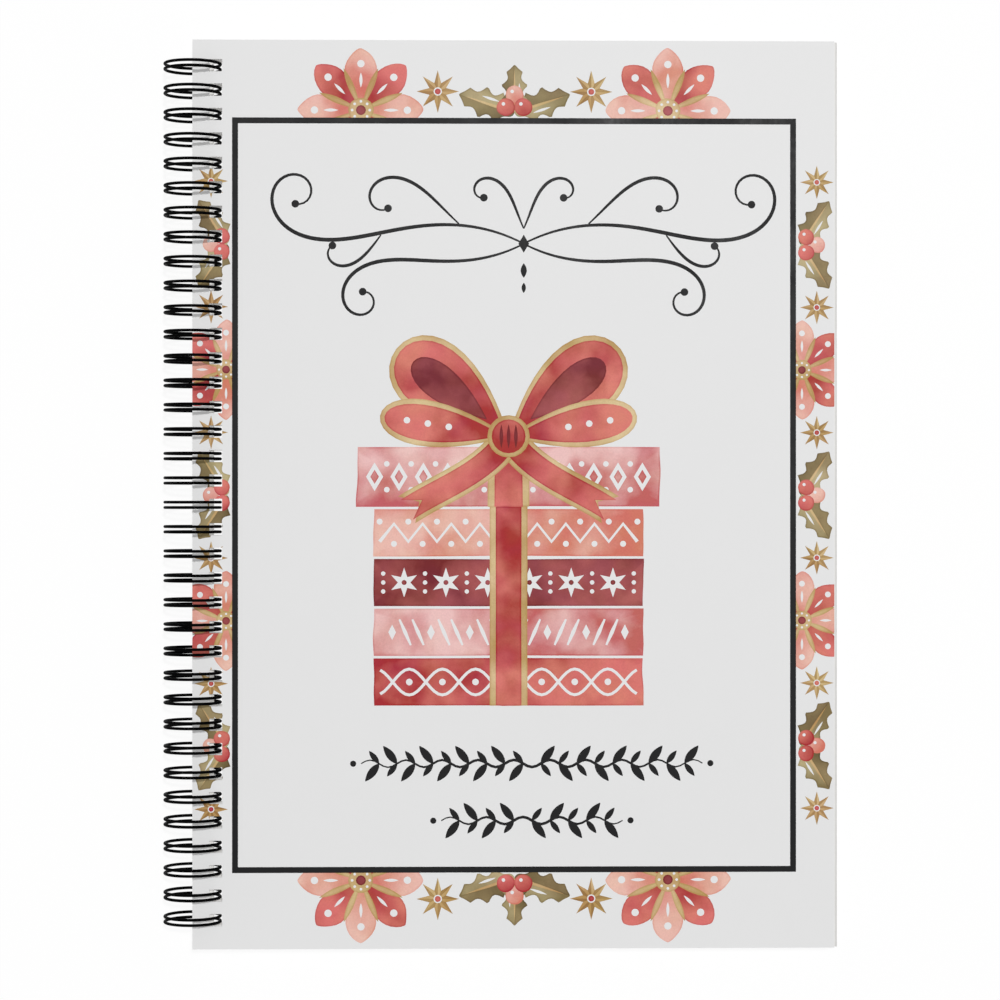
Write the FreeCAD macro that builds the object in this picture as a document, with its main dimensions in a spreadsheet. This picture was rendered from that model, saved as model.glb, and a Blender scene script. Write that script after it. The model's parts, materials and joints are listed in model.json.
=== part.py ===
import FreeCAD, Part
import Sketcher
import math
import os

# A wire-bound book of card pockets lying shut on its back.
# Book frame: the loop axis is the origin, +X runs to the fore-edge, +Y to the head, +Z to the front cover.
# Every body is drawn in the book frame, then placed on the table by the same lean and shift.

doc = FreeCAD.newDocument("card_book")
sheet = doc.addObject("Spreadsheet::Sheet", "sizes")

# Driving dimensions in millimetres and degrees
driving = [
    ("sheet_width", 148.5),
    ("sheet_height", 210.0),
    ("front_thickness", 0.4),
    ("back_thickness", 0.5),
    ("leaf_thickness", 0.25),
    ("tape_thickness", 0.85),
    ("panel_thickness", 0.2),
    ("sheet_gap", 0.1),
    ("stack_depth", 4.2),
    ("wire_diameter", 0.7),
    ("loop_diameter", 13.5),
    ("loop_pitch", 5.638),
    ("end_margin", 6.0),
    ("loop_offset", 0.43),
    ("twin_spacing", 1.235),
    ("bend_radius", 0.6),
    ("stub_length", 1.2),
    ("tip_angle", 273.0),
    ("root_angle", 296.0),
    ("hole_width", 2.95),
    ("hole_height", 2.8),
    ("hole_setback", 5.4),
    ("front_pull", 0.45),
    ("card_width", 85.6),
    ("card_play", 1.2),
    ("pocket_depth", 50.0),
    ("pocket_pitch", 92.0),
    ("pocket_centre", 80.0),
    ("tape_width", 6.0),
    ("thumb_diameter", 22.0),
]


def edge_formula(level, thickness):
    """Spine edge of a sheet whose holes are centred on the wire at the sheet's own level."""
    return "=sqrt(loop_radius ^ 2 - (%s + %s / 2) ^ 2) - hole_setback" % (level, thickness)


# Sizes worked out from the driving dimensions
leaf_numbers = (1, 2, 3, 4)
derived = [
    ("loop_radius", "=(loop_diameter - wire_diameter) / 2"),
    ("loop_count", "=floor((sheet_height - 2 * end_margin) / loop_pitch) + 1"),
    ("pocket_width", "=card_width + 2 * card_play"),
    ("panel_width", "=pocket_width + 2 * tape_width"),
    ("panel_height", "=pocket_depth + tape_width"),
    ("leaf_step", "=leaf_thickness + tape_thickness + panel_thickness + sheet_gap"),
    ("back_level", "=-stack_depth"),
    ("leaf_level_4", "=back_level + back_thickness + sheet_gap"),
    ("leaf_level_3", "=leaf_level_4 + leaf_step"),
    ("leaf_level_2", "=leaf_level_3 + leaf_step"),
    ("leaf_level_1", "=leaf_level_2 + leaf_step"),
    ("front_level", "=leaf_level_1 + leaf_step"),
    ("stack_top", "=front_level + front_thickness"),
    ("back_edge", edge_formula("back_level", "back_thickness")),
    ("front_edge", edge_formula("front_level", "front_thickness") + " - front_pull"),
]
for number in leaf_numbers:
    derived.append(("leaf_edge_%d" % number, edge_formula("leaf_level_%d" % number, "leaf_thickness")))
derived += [
    ("reach", "=back_edge + sheet_width"),
    ("slant", "=sqrt(reach ^ 2 + stack_depth ^ 2)"),
    ("lean", "=asin(loop_diameter / 2 / slant) - atan(stack_depth / reach)"),
    ("far_front", "=(front_edge + sheet_width) * cos(lean) + stack_top * sin(lean)"),
]
for number in leaf_numbers:
    along = "(leaf_edge_%d + sheet_width) * cos(lean)" % number
    upward = "(leaf_level_%d + leaf_thickness) * sin(lean)" % number
    derived.append(("far_leaf_%d" % number, "=%s + %s" % (along, upward)))
derived += [
    ("far_side", "=max(far_front, far_leaf_1, far_leaf_2, far_leaf_3, far_leaf_4)"),
    ("axis_x", "=(loop_diameter / 2 - far_side) / 2"),
    ("axis_z", "=loop_diameter / 2"),
]

for row, (name, value) in enumerate(driving + derived, start=1):
    sheet.set("A%d" % row, name)
    sheet.set("B%d" % row, str(value))
    sheet.setAlias("B%d" % row, name)
doc.recompute()


def size(name):
    """The value of one named size, as a plain number."""
    value = sheet.get(name)
    return float(getattr(value, "Value", value))


def bind(thing, path, formula):
    """Binds one property to a formula whose names are sizes in the sheet."""
    words = []
    for word in formula.split():
        known = word in names
        words.append("sizes." + word if known else word)
    thing.setExpression(path, " ".join(words))


names = {name for name, value in driving + derived}
pieces = []


def lay_down(thing):
    """Leans a piece drawn in the book frame and sets it on the table."""
    thing.Placement = FreeCAD.Placement(FreeCAD.Vector(), FreeCAD.Rotation(FreeCAD.Vector(0, 1, 0), 1))
    bind(thing, "Placement.Base.x", "axis_x")
    bind(thing, "Placement.Base.z", "axis_z")
    bind(thing, "Placement.Rotation.Angle", "lean")


def new_body(label):
    body = doc.addObject("PartDesign::Body", label)
    body.Label = label
    lay_down(body)
    pieces.append(body)
    return body


def box_feature(body, kind, title, corner, extent):
    """One box of a body, from its low corner and its three lengths, all formulas."""
    box = body.newObject(kind, title)
    for path, formula in zip(("Length", "Width", "Height"), extent):
        bind(box, path, formula)
    for path, formula in zip("xyz", corner):
        bind(box, "Placement.Base." + path, formula)
    return box


def origin_feature(body, role):
    return next(f for f in body.Origin.OriginFeatures if f.Role == role)


def punched_sheet(label, level, thickness, edge):
    """A sheet with one row of punched holes along its spine edge."""
    body = new_body(label)
    low = (edge, "-1 * sheet_height / 2", level)
    whole = ("sheet_width", "sheet_height", thickness)
    box_feature(body, "PartDesign::AdditiveBox", label + "_blank", low, whole)
    first_row = "loop_offset - loop_pitch * ( loop_count - 1 ) / 2 - hole_height / 2"
    corner = (edge + " + hole_setback - hole_width / 2", first_row, level + " - " + thickness)
    extent = ("hole_width", "hole_height", thickness + " * 3")
    hole = box_feature(body, "PartDesign::SubtractiveBox", label + "_hole", corner, extent)
    doc.recompute()
    row = body.newObject("PartDesign::LinearPattern", label + "_row")
    row.Originals = [hole]
    row.Direction = (origin_feature(body, "Y_Axis"), [""])
    bind(row, "Length", "loop_pitch * ( loop_count - 1 )")
    bind(row, "Occurrences", "loop_count")
    body.Tip = row
    return body


def tape_strip(label, corner, extent):
    body = new_body(label)
    box_feature(body, "PartDesign::AdditiveBox", label + "_strip", corner, extent)
    return body


def pocket_panel(label, left, foot, level):
    """A card panel with a half-round thumb notch in the middle of its upper edge."""
    body = new_body(label)
    sketch = body.newObject("Sketcher::SketchObject", label + "_outline")
    sketch.AttachmentSupport = (origin_feature(body, "XY_Plane"), [""])
    sketch.MapMode = "FlatFace"
    bind(sketch, "AttachmentOffset.Base.x", left)
    bind(sketch, "AttachmentOffset.Base.y", foot)
    bind(sketch, "AttachmentOffset.Base.z", level)
    width, height = size("panel_width"), size("panel_height")
    middle, notch = width / 2, size("thumb_diameter") / 2
    corners = [(0, 0), (width, 0), (width, height), (middle + notch, height)]
    corners += [(middle - notch, height), (0, height)]
    points = [FreeCAD.Vector(x, y, 0) for x, y in corners]
    foot_line = sketch.addGeometry(Part.LineSegment(points[0], points[1]))
    right_line = sketch.addGeometry(Part.LineSegment(points[1], points[2]))
    right_lip = sketch.addGeometry(Part.LineSegment(points[2], points[3]))
    round_notch = Part.Circle(FreeCAD.Vector(middle, height, 0), FreeCAD.Vector(0, 0, 1), notch)
    arc = sketch.addGeometry(Part.ArcOfCircle(round_notch, math.pi, 2 * math.pi))
    left_lip = sketch.addGeometry(Part.LineSegment(points[4], points[5]))
    left_line = sketch.addGeometry(Part.LineSegment(points[5], points[0]))
    joins = [(foot_line, 2, right_line, 1), (right_line, 2, right_lip, 1), (right_lip, 2, arc, 2)]
    joins += [(arc, 1, left_lip, 1), (left_lip, 2, left_line, 1), (left_line, 2, foot_line, 1)]
    for join in joins:
        sketch.addConstraint(Sketcher.Constraint("Coincident", *join))
    for line in (foot_line, right_lip, left_lip):
        sketch.addConstraint(Sketcher.Constraint("Horizontal", line))
    for line in (right_line, left_line):
        sketch.addConstraint(Sketcher.Constraint("Vertical", line))
    sketch.addConstraint(Sketcher.Constraint("Coincident", foot_line, 1, -1, 1))
    sketch.addConstraint(Sketcher.Constraint("Equal", right_lip, left_lip))
    sketch.addConstraint(Sketcher.Constraint("PointOnObject", arc, 3, right_lip))
    width_at = sketch.addConstraint(Sketcher.Constraint("DistanceX", foot_line, 1, foot_line, 2, width))
    height_at = sketch.addConstraint(Sketcher.Constraint("DistanceY", right_line, 1, right_line, 2, height))
    notch_at = sketch.addConstraint(Sketcher.Constraint("Radius", arc, notch))
    bind(sketch, "Constraints[%d]" % width_at, "panel_width")
    bind(sketch, "Constraints[%d]" % height_at, "panel_height")
    bind(sketch, "Constraints[%d]" % notch_at, "thumb_diameter / 2")
    doc.recompute()
    pad = body.newObject("PartDesign::Pad", label + "_card")
    pad.Profile = sketch
    bind(pad, "Length", "panel_thickness")
    return body


# Covers and leaves
back_cover = punched_sheet("back_cover", "back_level", "back_thickness", "back_edge")
for number in leaf_numbers:
    punched_sheet("leaf_%d" % number, "leaf_level_%d" % number, "leaf_thickness", "leaf_edge_%d" % number)
front_cover = punched_sheet("front_cover", "front_level", "front_thickness", "front_edge")

# Card pockets: a panel on three strips of tape, open towards the head of the book
for number in leaf_numbers:
    for place, side in (("head", 1), ("foot", -1)):
        name = "%d_%s" % (number, place)
        left = "leaf_edge_%d + pocket_centre - panel_width / 2" % number
        foot = "%d * pocket_pitch / 2 - panel_height / 2" % side
        tape_level = "leaf_level_%d + leaf_thickness" % number
        upright = ("tape_width", "pocket_depth", "tape_thickness")
        above = foot + " + tape_width"
        tape_strip("tape_%s_left" % name, (left, above, tape_level), upright)
        right = left + " + panel_width - tape_width"
        tape_strip("tape_%s_right" % name, (right, above, tape_level), upright)
        level = ("panel_width", "tape_width", "tape_thickness")
        tape_strip("tape_%s_base" % name, (left, foot, tape_level), level)
        pocket_panel("pocket_%s" % name, left, foot, tape_level + " + tape_thickness")
doc.recompute()


# Twin-loop wire: one path of tangent arcs and straight runs, swept by a round section
def polar(angle):
    """Unit vectors outwards and along the turn at one angle round the loop axis."""
    turn = math.radians(angle)
    outward = FreeCAD.Vector(math.cos(turn), 0, math.sin(turn))
    onward = FreeCAD.Vector(-math.sin(turn), 0, math.cos(turn))
    return outward, onward


def wire_edges():
    """Edges of the wire's centre line, from the first loop at the foot to the last at the head."""
    radius, bend, half_twin = size("loop_radius"), size("bend_radius"), size("twin_spacing") / 2
    root_angle, tip_angle = size("root_angle"), size("tip_angle") + 360
    along = FreeCAD.Vector(0, 1, 0)
    root_out, root_on = polar(root_angle)
    tip_out, tip_on = polar(tip_angle)
    slant_share = math.sqrt(0.5)
    spine = root_out * radius - root_on * bend
    edges = []

    def line(start, end):
        edges.append(Part.makeLine(start, end))

    def arc(start, middle, end):
        edges.append(Part.Arc(start, middle, end).toShape())

    def ring(y, first, last):
        stops = [polar(first + (last - first) * step / 4)[0] * radius + along * y for step in range(5)]
        arc(stops[0], stops[1], stops[2])
        arc(stops[2], stops[3], stops[4])

    count, pitch = int(size("loop_count")), size("loop_pitch")
    first_loop = size("loop_offset") - pitch * (count - 1) / 2
    reached = first_loop - half_twin - bend - size("stub_length")
    for index in range(count):
        middle = first_loop + pitch * index
        low, high = middle - half_twin, middle + half_twin
        line(spine + along * reached, spine + along * (low - bend))
        centre = root_out * radius + along * (low - bend)
        half_way = centre + (along - root_on) * (bend * slant_share)
        arc(centre - root_on * bend, half_way, centre + along * bend)
        ring(low, root_angle, tip_angle)
        centre = tip_out * radius + along * middle
        foot_turn, head_turn = centre - along * half_twin, centre + along * half_twin
        apex = centre + tip_on * half_twin
        arc(foot_turn, centre + (tip_on - along) * (half_twin * slant_share), apex)
        arc(apex, centre + (tip_on + along) * (half_twin * slant_share), head_turn)
        ring(high, tip_angle, root_angle)
        centre = root_out * radius + along * (high + bend)
        half_way = centre - (along + root_on) * (bend * slant_share)
        arc(centre - along * bend, half_way, centre - root_on * bend)
        reached = high + bend
    line(spine + along * reached, spine + along * (reached + size("stub_length")))
    return edges


wire_path = wire_edges()
wire_end = wire_path[0].Vertexes[0].Point
section = Part.makeCircle(size("wire_diameter") / 2, wire_end, FreeCAD.Vector(0, 1, 0))
wire = doc.addObject("Part::Feature", "twin_loop_wire")
wire.Label = "twin_loop_wire"
wire.Shape = Part.Wire(wire_path).makePipeShell([Part.Wire([section])], True, False)
lay_down(wire)
pieces.append(wire)
doc.recompute()


def least_self_gap(edges):
    """Least clear space between two stretches of the wire, measured on points of its centre line."""
    stations, run = [], 0.0
    for edge in edges:
        steps = max(2, math.ceil(edge.Length / (size("wire_diameter") / 4)))
        for step, point in enumerate(edge.discretize(Number=steps + 1)[:-1]):
            stations.append((run + edge.Length * step / steps, point))
        run += edge.Length
    same_bend = math.pi * size("twin_spacing") / 2
    least = min(
        point.distanceToPoint(other)
        for index, (at, point) in enumerate(stations)
        for further, other in stations[index + 1:]
        if further - at > same_bend
    )
    return least - size("wire_diameter")


edges_per_loop = len(wire_path) // int(size("loop_count"))
print("least gap of the wire to itself, mm:", round(least_self_gap(wire_path[:3 * edges_per_loop]), 3))
if len(wire.Shape.Solids) != 1:
    raise RuntimeError("the wire is not one solid")

# Check every object, then write one file for each piece
for thing in doc.Objects:
    if "Invalid" in thing.State or "Error" in thing.State:
        raise RuntimeError("%s has state %s" % (thing.Label, thing.State))
os.makedirs("parts", exist_ok=True)
for piece in pieces:
    if piece.Shape.isNull() or not piece.Shape.isValid() or len(piece.Shape.Solids) != 1:
        raise RuntimeError("%s has no valid single solid" % piece.Label)
    piece.Shape.exportStep("parts/%s.step" % piece.Label)

box = FreeCAD.BoundBox()
for piece in pieces:
    box.add(piece.Shape.optimalBoundingBox(True, False))
print("pieces:", len(pieces), "lean in degrees:", round(size("lean"), 4))
print("box:", [round(value, 3) for value in (box.XMin, box.YMin, box.ZMin, box.XMax, box.YMax, box.ZMax)])
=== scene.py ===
# A wire-bound book of card pockets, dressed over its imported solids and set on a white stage.
# Lengths are metres in the book's own frame; drawings on a sheet are millimetres on that sheet.

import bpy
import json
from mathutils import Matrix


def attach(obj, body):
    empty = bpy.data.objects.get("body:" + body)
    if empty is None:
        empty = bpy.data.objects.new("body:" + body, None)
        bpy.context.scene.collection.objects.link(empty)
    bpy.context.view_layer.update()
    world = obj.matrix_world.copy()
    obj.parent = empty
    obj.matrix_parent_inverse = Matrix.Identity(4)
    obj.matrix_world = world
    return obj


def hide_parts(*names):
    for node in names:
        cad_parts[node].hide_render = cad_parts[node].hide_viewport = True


bl_info = {
    "name": "Gift card holder",
    "version": (1, 0, 0),
    "blender": (4, 5, 0),
    "location": "3D View > Sidebar > Card Book",
    "description": "Dresses a wire-bound book of card pockets and lights it for a picture",
    "category": "Object",
}

import cmath
import json
import math
import random

import bpy
import numpy as np
from bpy.props import FloatProperty, FloatVectorProperty, IntProperty, PointerProperty
from mathutils import Matrix, Vector
from mathutils.geometry import delaunay_2d_cdt

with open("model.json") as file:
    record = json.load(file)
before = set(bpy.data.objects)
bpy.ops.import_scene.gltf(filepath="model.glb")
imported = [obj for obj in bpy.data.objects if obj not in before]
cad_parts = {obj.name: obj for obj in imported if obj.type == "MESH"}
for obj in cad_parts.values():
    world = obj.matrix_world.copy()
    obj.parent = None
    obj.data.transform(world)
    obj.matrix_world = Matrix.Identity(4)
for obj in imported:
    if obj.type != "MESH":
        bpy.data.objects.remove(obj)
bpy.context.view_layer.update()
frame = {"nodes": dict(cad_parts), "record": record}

MM = 0.001
LEAVES = (1, 2, 3, 4)
PLACES = (("head", 1), ("foot", -1))
STRIPS = ("left", "right", "base")
WASHES = ("red", "maroon", "rose", "coral", "gold", "bronze", "olive", "moss")

# Width in millimetres of the pooled rim of a wash
COVER_POOL = 0.45
INNER_POOL = 0.3

# Straight runs along each curve of the wire, and sides of its tube
LOOP_STEPS = 88
TIP_STEPS = 10
BEND_STEPS = 5
TUBE_SIDES = 10

# The floor's half width and its tone
FLOOR_HALF = 2.0
FLOOR_WHITE = (0.97, 0.97, 0.97)

# Kinds of socket on a shared node group
COLOUR = "NodeSocketColor"
VALUE = "NodeSocketFloat"


def linear(red, green, blue):
    """A colour as it is read off a screen, as the linear values that a shader takes."""
    shares = [value / 255 for value in (red, green, blue)]
    return tuple(s / 12.92 if s <= 0.04045 else ((s + 0.055) / 1.055) ** 2.4 for s in shares)


# Properties that a user would change

def length(name, description, default):
    return FloatProperty(name=name, description=description, default=default, unit="LENGTH", precision=5)


def degrees(name, description, default):
    return FloatProperty(name=name, description=description, default=math.radians(default), subtype="ANGLE")


def level(name, description, default, **options):
    return FloatProperty(name=name, description=description, default=default, min=0.0, **options)


def colour(name, description, default):
    return FloatVectorProperty(name=name, description=description, default=default, subtype="COLOR",
                               min=0.0, max=1.0)


def wash(ink, state, *screen):
    """A watercolour ink's colour in one state, thin or deep."""
    return colour("%s, %s" % (ink, state), "%s wash where it is %s" % (ink, state), linear(*screen))


class CardBookSizes(bpy.types.PropertyGroup):
    """Sizes of the book's pieces, the same as in its solids"""
    sheet_width: length("Sheet width", "From spine edge to fore-edge", 0.1485)
    sheet_height: length("Sheet height", "From foot to head", 0.21)
    front_thickness: length("Front cover", "Thickness of the front cover", 0.0004)
    back_thickness: length("Back cover", "Thickness of the back cover", 0.0005)
    leaf_thickness: length("Leaf", "Thickness of a leaf", 0.00025)
    tape_thickness: length("Tape", "Thickness of the foam tape", 0.00085)
    panel_thickness: length("Pocket panel", "Thickness of a pocket's panel", 0.0002)
    sheet_gap: length("Sheet gap", "Air between one sheet and the next", 0.0001)
    stack_depth: length("Stack depth", "Back cover's outer face below the loop axis", 0.0042)
    wire_diameter: length("Wire", "Thickness of the wire", 0.0007)
    loop_diameter: length("Loops", "Outside diameter of the loops", 0.0135)
    loop_pitch: length("Loop pitch", "From one twin loop to the next", 0.005638)
    loop_count: IntProperty(name="Loop count", description="Twin loops along the spine", default=36, min=1)
    loop_offset: length("Loop offset", "Row of loops above the middle of the sheet", 0.00043)
    twin_spacing: length("Twin spacing", "Between the two wires of a twin loop", 0.001235)
    bend_radius: length("Bend", "Radius of the wire's bends at the spine run", 0.0006)
    stub_length: length("Stub", "Straight end of the wire", 0.0012)
    tip_angle: degrees("Tip angle", "Where a loop's tip turns back, round the axis", 273)
    root_angle: degrees("Root angle", "Where a loop leaves the spine run", 296)
    hole_width: length("Hole width", "Punched hole across the spine", 0.00295)
    hole_height: length("Hole height", "Punched hole along the spine", 0.0028)
    hole_setback: length("Hole setback", "Spine edge to the middle of the holes", 0.0054)
    front_pull: length("Front pull", "How far the front cover is pulled out on the wire", 0.00045)
    panel_width: length("Panel width", "Width of a pocket's panel", 0.1)
    panel_height: length("Panel height", "Height of a pocket's panel", 0.056)
    pocket_centre: length("Pocket centre", "Spine edge to the middle of the pockets", 0.08)
    pocket_pitch: length("Pocket pitch", "Between the middles of a leaf's two pockets", 0.092)
    thumb_diameter: length("Thumb notch", "Diameter of the half-round thumb notch", 0.022)


class CardBookColours(bpy.types.PropertyGroup):
    """Colours of card, inks and wire"""
    cover_card: colour("Cover card", "White card of the covers", linear(226, 226, 226))
    leaf_card: colour("Leaf card", "Card of the leaves", linear(221, 220, 218))
    # Painted shade: a darker tone for a strip along the leaves' fore-edge, standing in for the shade that
    # falls there
    leaf_edge: colour("Leaf edge", "Shaded fore-edge of the leaves", linear(204, 203, 201))
    ink: colour("Line ink", "Dark ink of ruled lines", linear(22, 22, 23))
    red_thin: wash("Red", "thin", 215, 120, 110)
    red_deep: wash("Red", "deep", 162, 42, 47)
    maroon_thin: wash("Maroon", "thin", 172, 88, 88)
    maroon_deep: wash("Maroon", "deep", 112, 32, 38)
    rose_thin: wash("Rose", "thin", 234, 192, 188)
    rose_deep: wash("Rose", "deep", 190, 92, 92)
    coral_thin: wash("Coral", "thin", 232, 186, 172)
    coral_deep: wash("Coral", "deep", 206, 116, 98)
    gold_thin: wash("Gold", "thin", 218, 194, 150)
    gold_deep: wash("Gold", "deep", 178, 142, 88)
    bronze_thin: wash("Bronze", "thin", 190, 158, 108)
    bronze_deep: wash("Bronze", "deep", 150, 114, 66)
    olive_thin: wash("Olive", "thin", 184, 168, 128)
    olive_deep: wash("Olive", "deep", 124, 108, 70)
    moss_thin: wash("Moss", "thin", 146, 128, 90)
    moss_deep: wash("Moss", "deep", 92, 76, 46)
    wire: colour("Wire", "Black coat of the wire", (0.0008, 0.0008, 0.0009))
    foam: colour("Foam", "White foam of the tape", linear(232, 231, 226))


class CardBookStage(bpy.types.PropertyGroup):
    """Camera and light of the picture"""
    camera_height: length("Camera height", "Camera above the table", 0.6194)
    camera_left: length("Camera left", "Camera towards the spine from the middle of the book", 0.00015)
    camera_down: length("Camera down", "Camera towards the foot from the middle of the book", 0.00127)
    camera_near: length("Camera near", "Nearest distance that the camera sees", 0.01)
    lens: level("Lens", "Focal length in millimetres", 95.2)
    ambient: level("Ambient", "Light from all round", 0.22)
    fill: level("Fill", "Even light from overhead that casts no shadow", 0.33)
    key_power: level("Key light", "Power of the lamp overhead", 43.2, unit="POWER")
    key_place: FloatVectorProperty(name="Key place", description="Where the lamp hangs over the table",
                                   default=(0.38, 0.66, 3.0), subtype="TRANSLATION", unit="LENGTH")
    key_width: length("Key width", "Diameter of the lamp's disc", 0.22)
    backdrop: level("Backdrop", "Share of plain white in the floor as the camera sees it", 0.88, max=1.0,
                    subtype="FACTOR")


# Where the sheets lie

class Layout:
    """Levels, edges and lean of the sheets, worked out from the sizes as the solids are."""

    def __init__(self, sizes):
        self.sizes = sizes
        self.loop_radius = (sizes.loop_diameter - sizes.wire_diameter) / 2
        self.first_loop = sizes.loop_offset - sizes.loop_pitch * (sizes.loop_count - 1) / 2
        step = sizes.leaf_thickness + sizes.tape_thickness + sizes.panel_thickness + sizes.sheet_gap
        lowest = -sizes.stack_depth + sizes.back_thickness + sizes.sheet_gap
        self.leaf_level = {number: lowest + step * (LEAVES[-1] - number) for number in LEAVES}
        self.front_level = lowest + step * len(LEAVES)
        self.front_edge = self.edge(self.front_level + sizes.front_thickness / 2) - sizes.front_pull
        self.leaf_edge = {number: self.edge(height + sizes.leaf_thickness / 2)
                          for number, height in self.leaf_level.items()}
        reach = self.edge(sizes.back_thickness / 2 - sizes.stack_depth) + sizes.sheet_width
        slant = math.hypot(reach, sizes.stack_depth)
        lean = math.asin(sizes.loop_diameter / 2 / slant) - math.atan(sizes.stack_depth / reach)
        hinge = frame["record"]["behaviour"]["joints"][0]["pos_m"]
        self.book = Matrix.Translation(hinge) @ Matrix.Rotation(lean, 4, "Y")

    def edge(self, middle):
        """Spine edge of a sheet whose holes follow the wire at that height."""
        return math.sqrt(self.loop_radius ** 2 - middle ** 2) - self.sizes.hole_setback

    def sheet_frame(self, across, up, height):
        """Frame of a sheet whose own origin is a point of the book frame."""
        return self.book @ Matrix.Translation((across, up, height))

    def holes(self):
        """Outlines of the punched holes in millimetres, from the spine edge and the middle of the sheet."""
        sizes = self.sizes
        half = complex(sizes.hole_width, sizes.hole_height) / MM / 2
        rows = [self.first_loop + sizes.loop_pitch * index for index in range(sizes.loop_count)]
        middles = [complex(sizes.hole_setback, up) / MM for up in rows]
        return [rectangle(middle - half, middle + half) for middle in middles]


def layout():
    return Layout(bpy.context.scene.card_book_sizes)


def tones():
    return bpy.context.scene.card_book_colours


# Outlines on a sheet: points are complex numbers, across the sheet and up it

def rectangle(low, high):
    return [low, complex(high.real, low.imag), high, complex(low.real, high.imag)]


def disc(radius, steps=18):
    return [cmath.rect(radius, 2 * math.pi * index / steps) for index in range(steps)]


def blade(reach, width, belly=1.0, point=0.9, steps=12, bays=0):
    """A petal, leaf or needle from the origin along the sheet, its sides cut into bays."""
    upper, bay_depth = [], 0.42
    for index in range(steps + 1):
        share = (1 - math.cos(math.pi * index / steps)) / 2
        swell = math.sin(math.pi * share ** belly) ** point
        bay = 1 - bay_depth * abs(math.sin(math.pi * share * bays))
        upper.append(complex(reach * share, width / 2 * swell * bay))
    upper[0], upper[-1] = complex(0, 0), complex(reach, 0)
    return upper + [p.conjugate() for p in reversed(upper[1:-1])]


def teardrop(reach, width, steps=32):
    """A drop with its point at the origin and a round end along the sheet."""
    turns = [2 * math.pi * index / steps for index in range(steps)]
    half = width / 2
    return [complex(reach * (1 - math.cos(t)) / 2, -half * math.sin(t) * math.sin(t / 2)) for t in turns]


def star(radius, points, waist_share=0.42):
    radii = (radius, radius * waist_share)
    return [cmath.rect(radii[index % 2], math.pi * index / points) for index in range(2 * points)]


def diamond(radius, width_share=0.6):
    """A diamond that stands on its point."""
    return placed(star(radius, 2, width_share), turn=math.pi / 2)


def scroll(start, heading, reach, first_turn, last_turn, ease=1.0, steps=84):
    """A pen's path whose bend goes from one rate to another, in radians a millimetre, late if eased."""
    path, step = [start], reach / steps
    for index in range(steps):
        share = ((index + 0.5) / steps) ** ease
        heading += (first_turn + (last_turn - first_turn) * share) * step
        path.append(path[-1] + cmath.rect(step, heading))
    return path


def stroke(path, width, taper_share=1.0, notch=0.0):
    """A line along a path, narrowing to a share of its width at both ends, or notched at its far end."""
    left, right = [], []
    last = len(path) - 1
    for index, point in enumerate(path):
        ahead = path[min(index + 1, last)] - path[max(index - 1, 0)]
        middle_share = math.sin(math.pi * index / last)
        half = width / 2 * (taper_share + (1 - taper_share) * middle_share)
        side = ahead / abs(ahead) * 1j * half
        left.append(point + side)
        right.append(point - side)
    end = [path[-1] - ahead / abs(ahead) * notch] if notch else []
    return right + end + left[::-1]


def placed(outline, at=0j, turn=0.0, scale=1.0):
    return [point * cmath.rect(scale, turn) + at for point in outline]


def mirrored(outline, across):
    """The outline's mirror image on the other side of an upright line."""
    return [complex(2 * across - point.real, point.imag) for point in outline]


def row(middle, step, half):
    """Places along a level line, counted from its middle to both sides."""
    count = int(half / step)
    return [(index, middle + index * step) for index in range(-count, count + 1)]


def hand_drawn(outline, amount, draw):
    """Adds the slow waver of a brush to an outline."""
    wave_counts = (2, 3, 5, 7)
    waves = [(count, draw.uniform(0, 2 * math.pi), amount / count) for count in wave_counts]
    middle = sum(outline) / len(outline)
    wavered = []
    for index, point in enumerate(outline):
        round_share = 2 * math.pi * index / len(outline)
        shift = sum(size * math.sin(count * round_share + phase) for count, phase, size in waves)
        out = point - middle
        wavered.append(point + (out / abs(out) * shift if abs(out) else 0))
    return wavered


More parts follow.
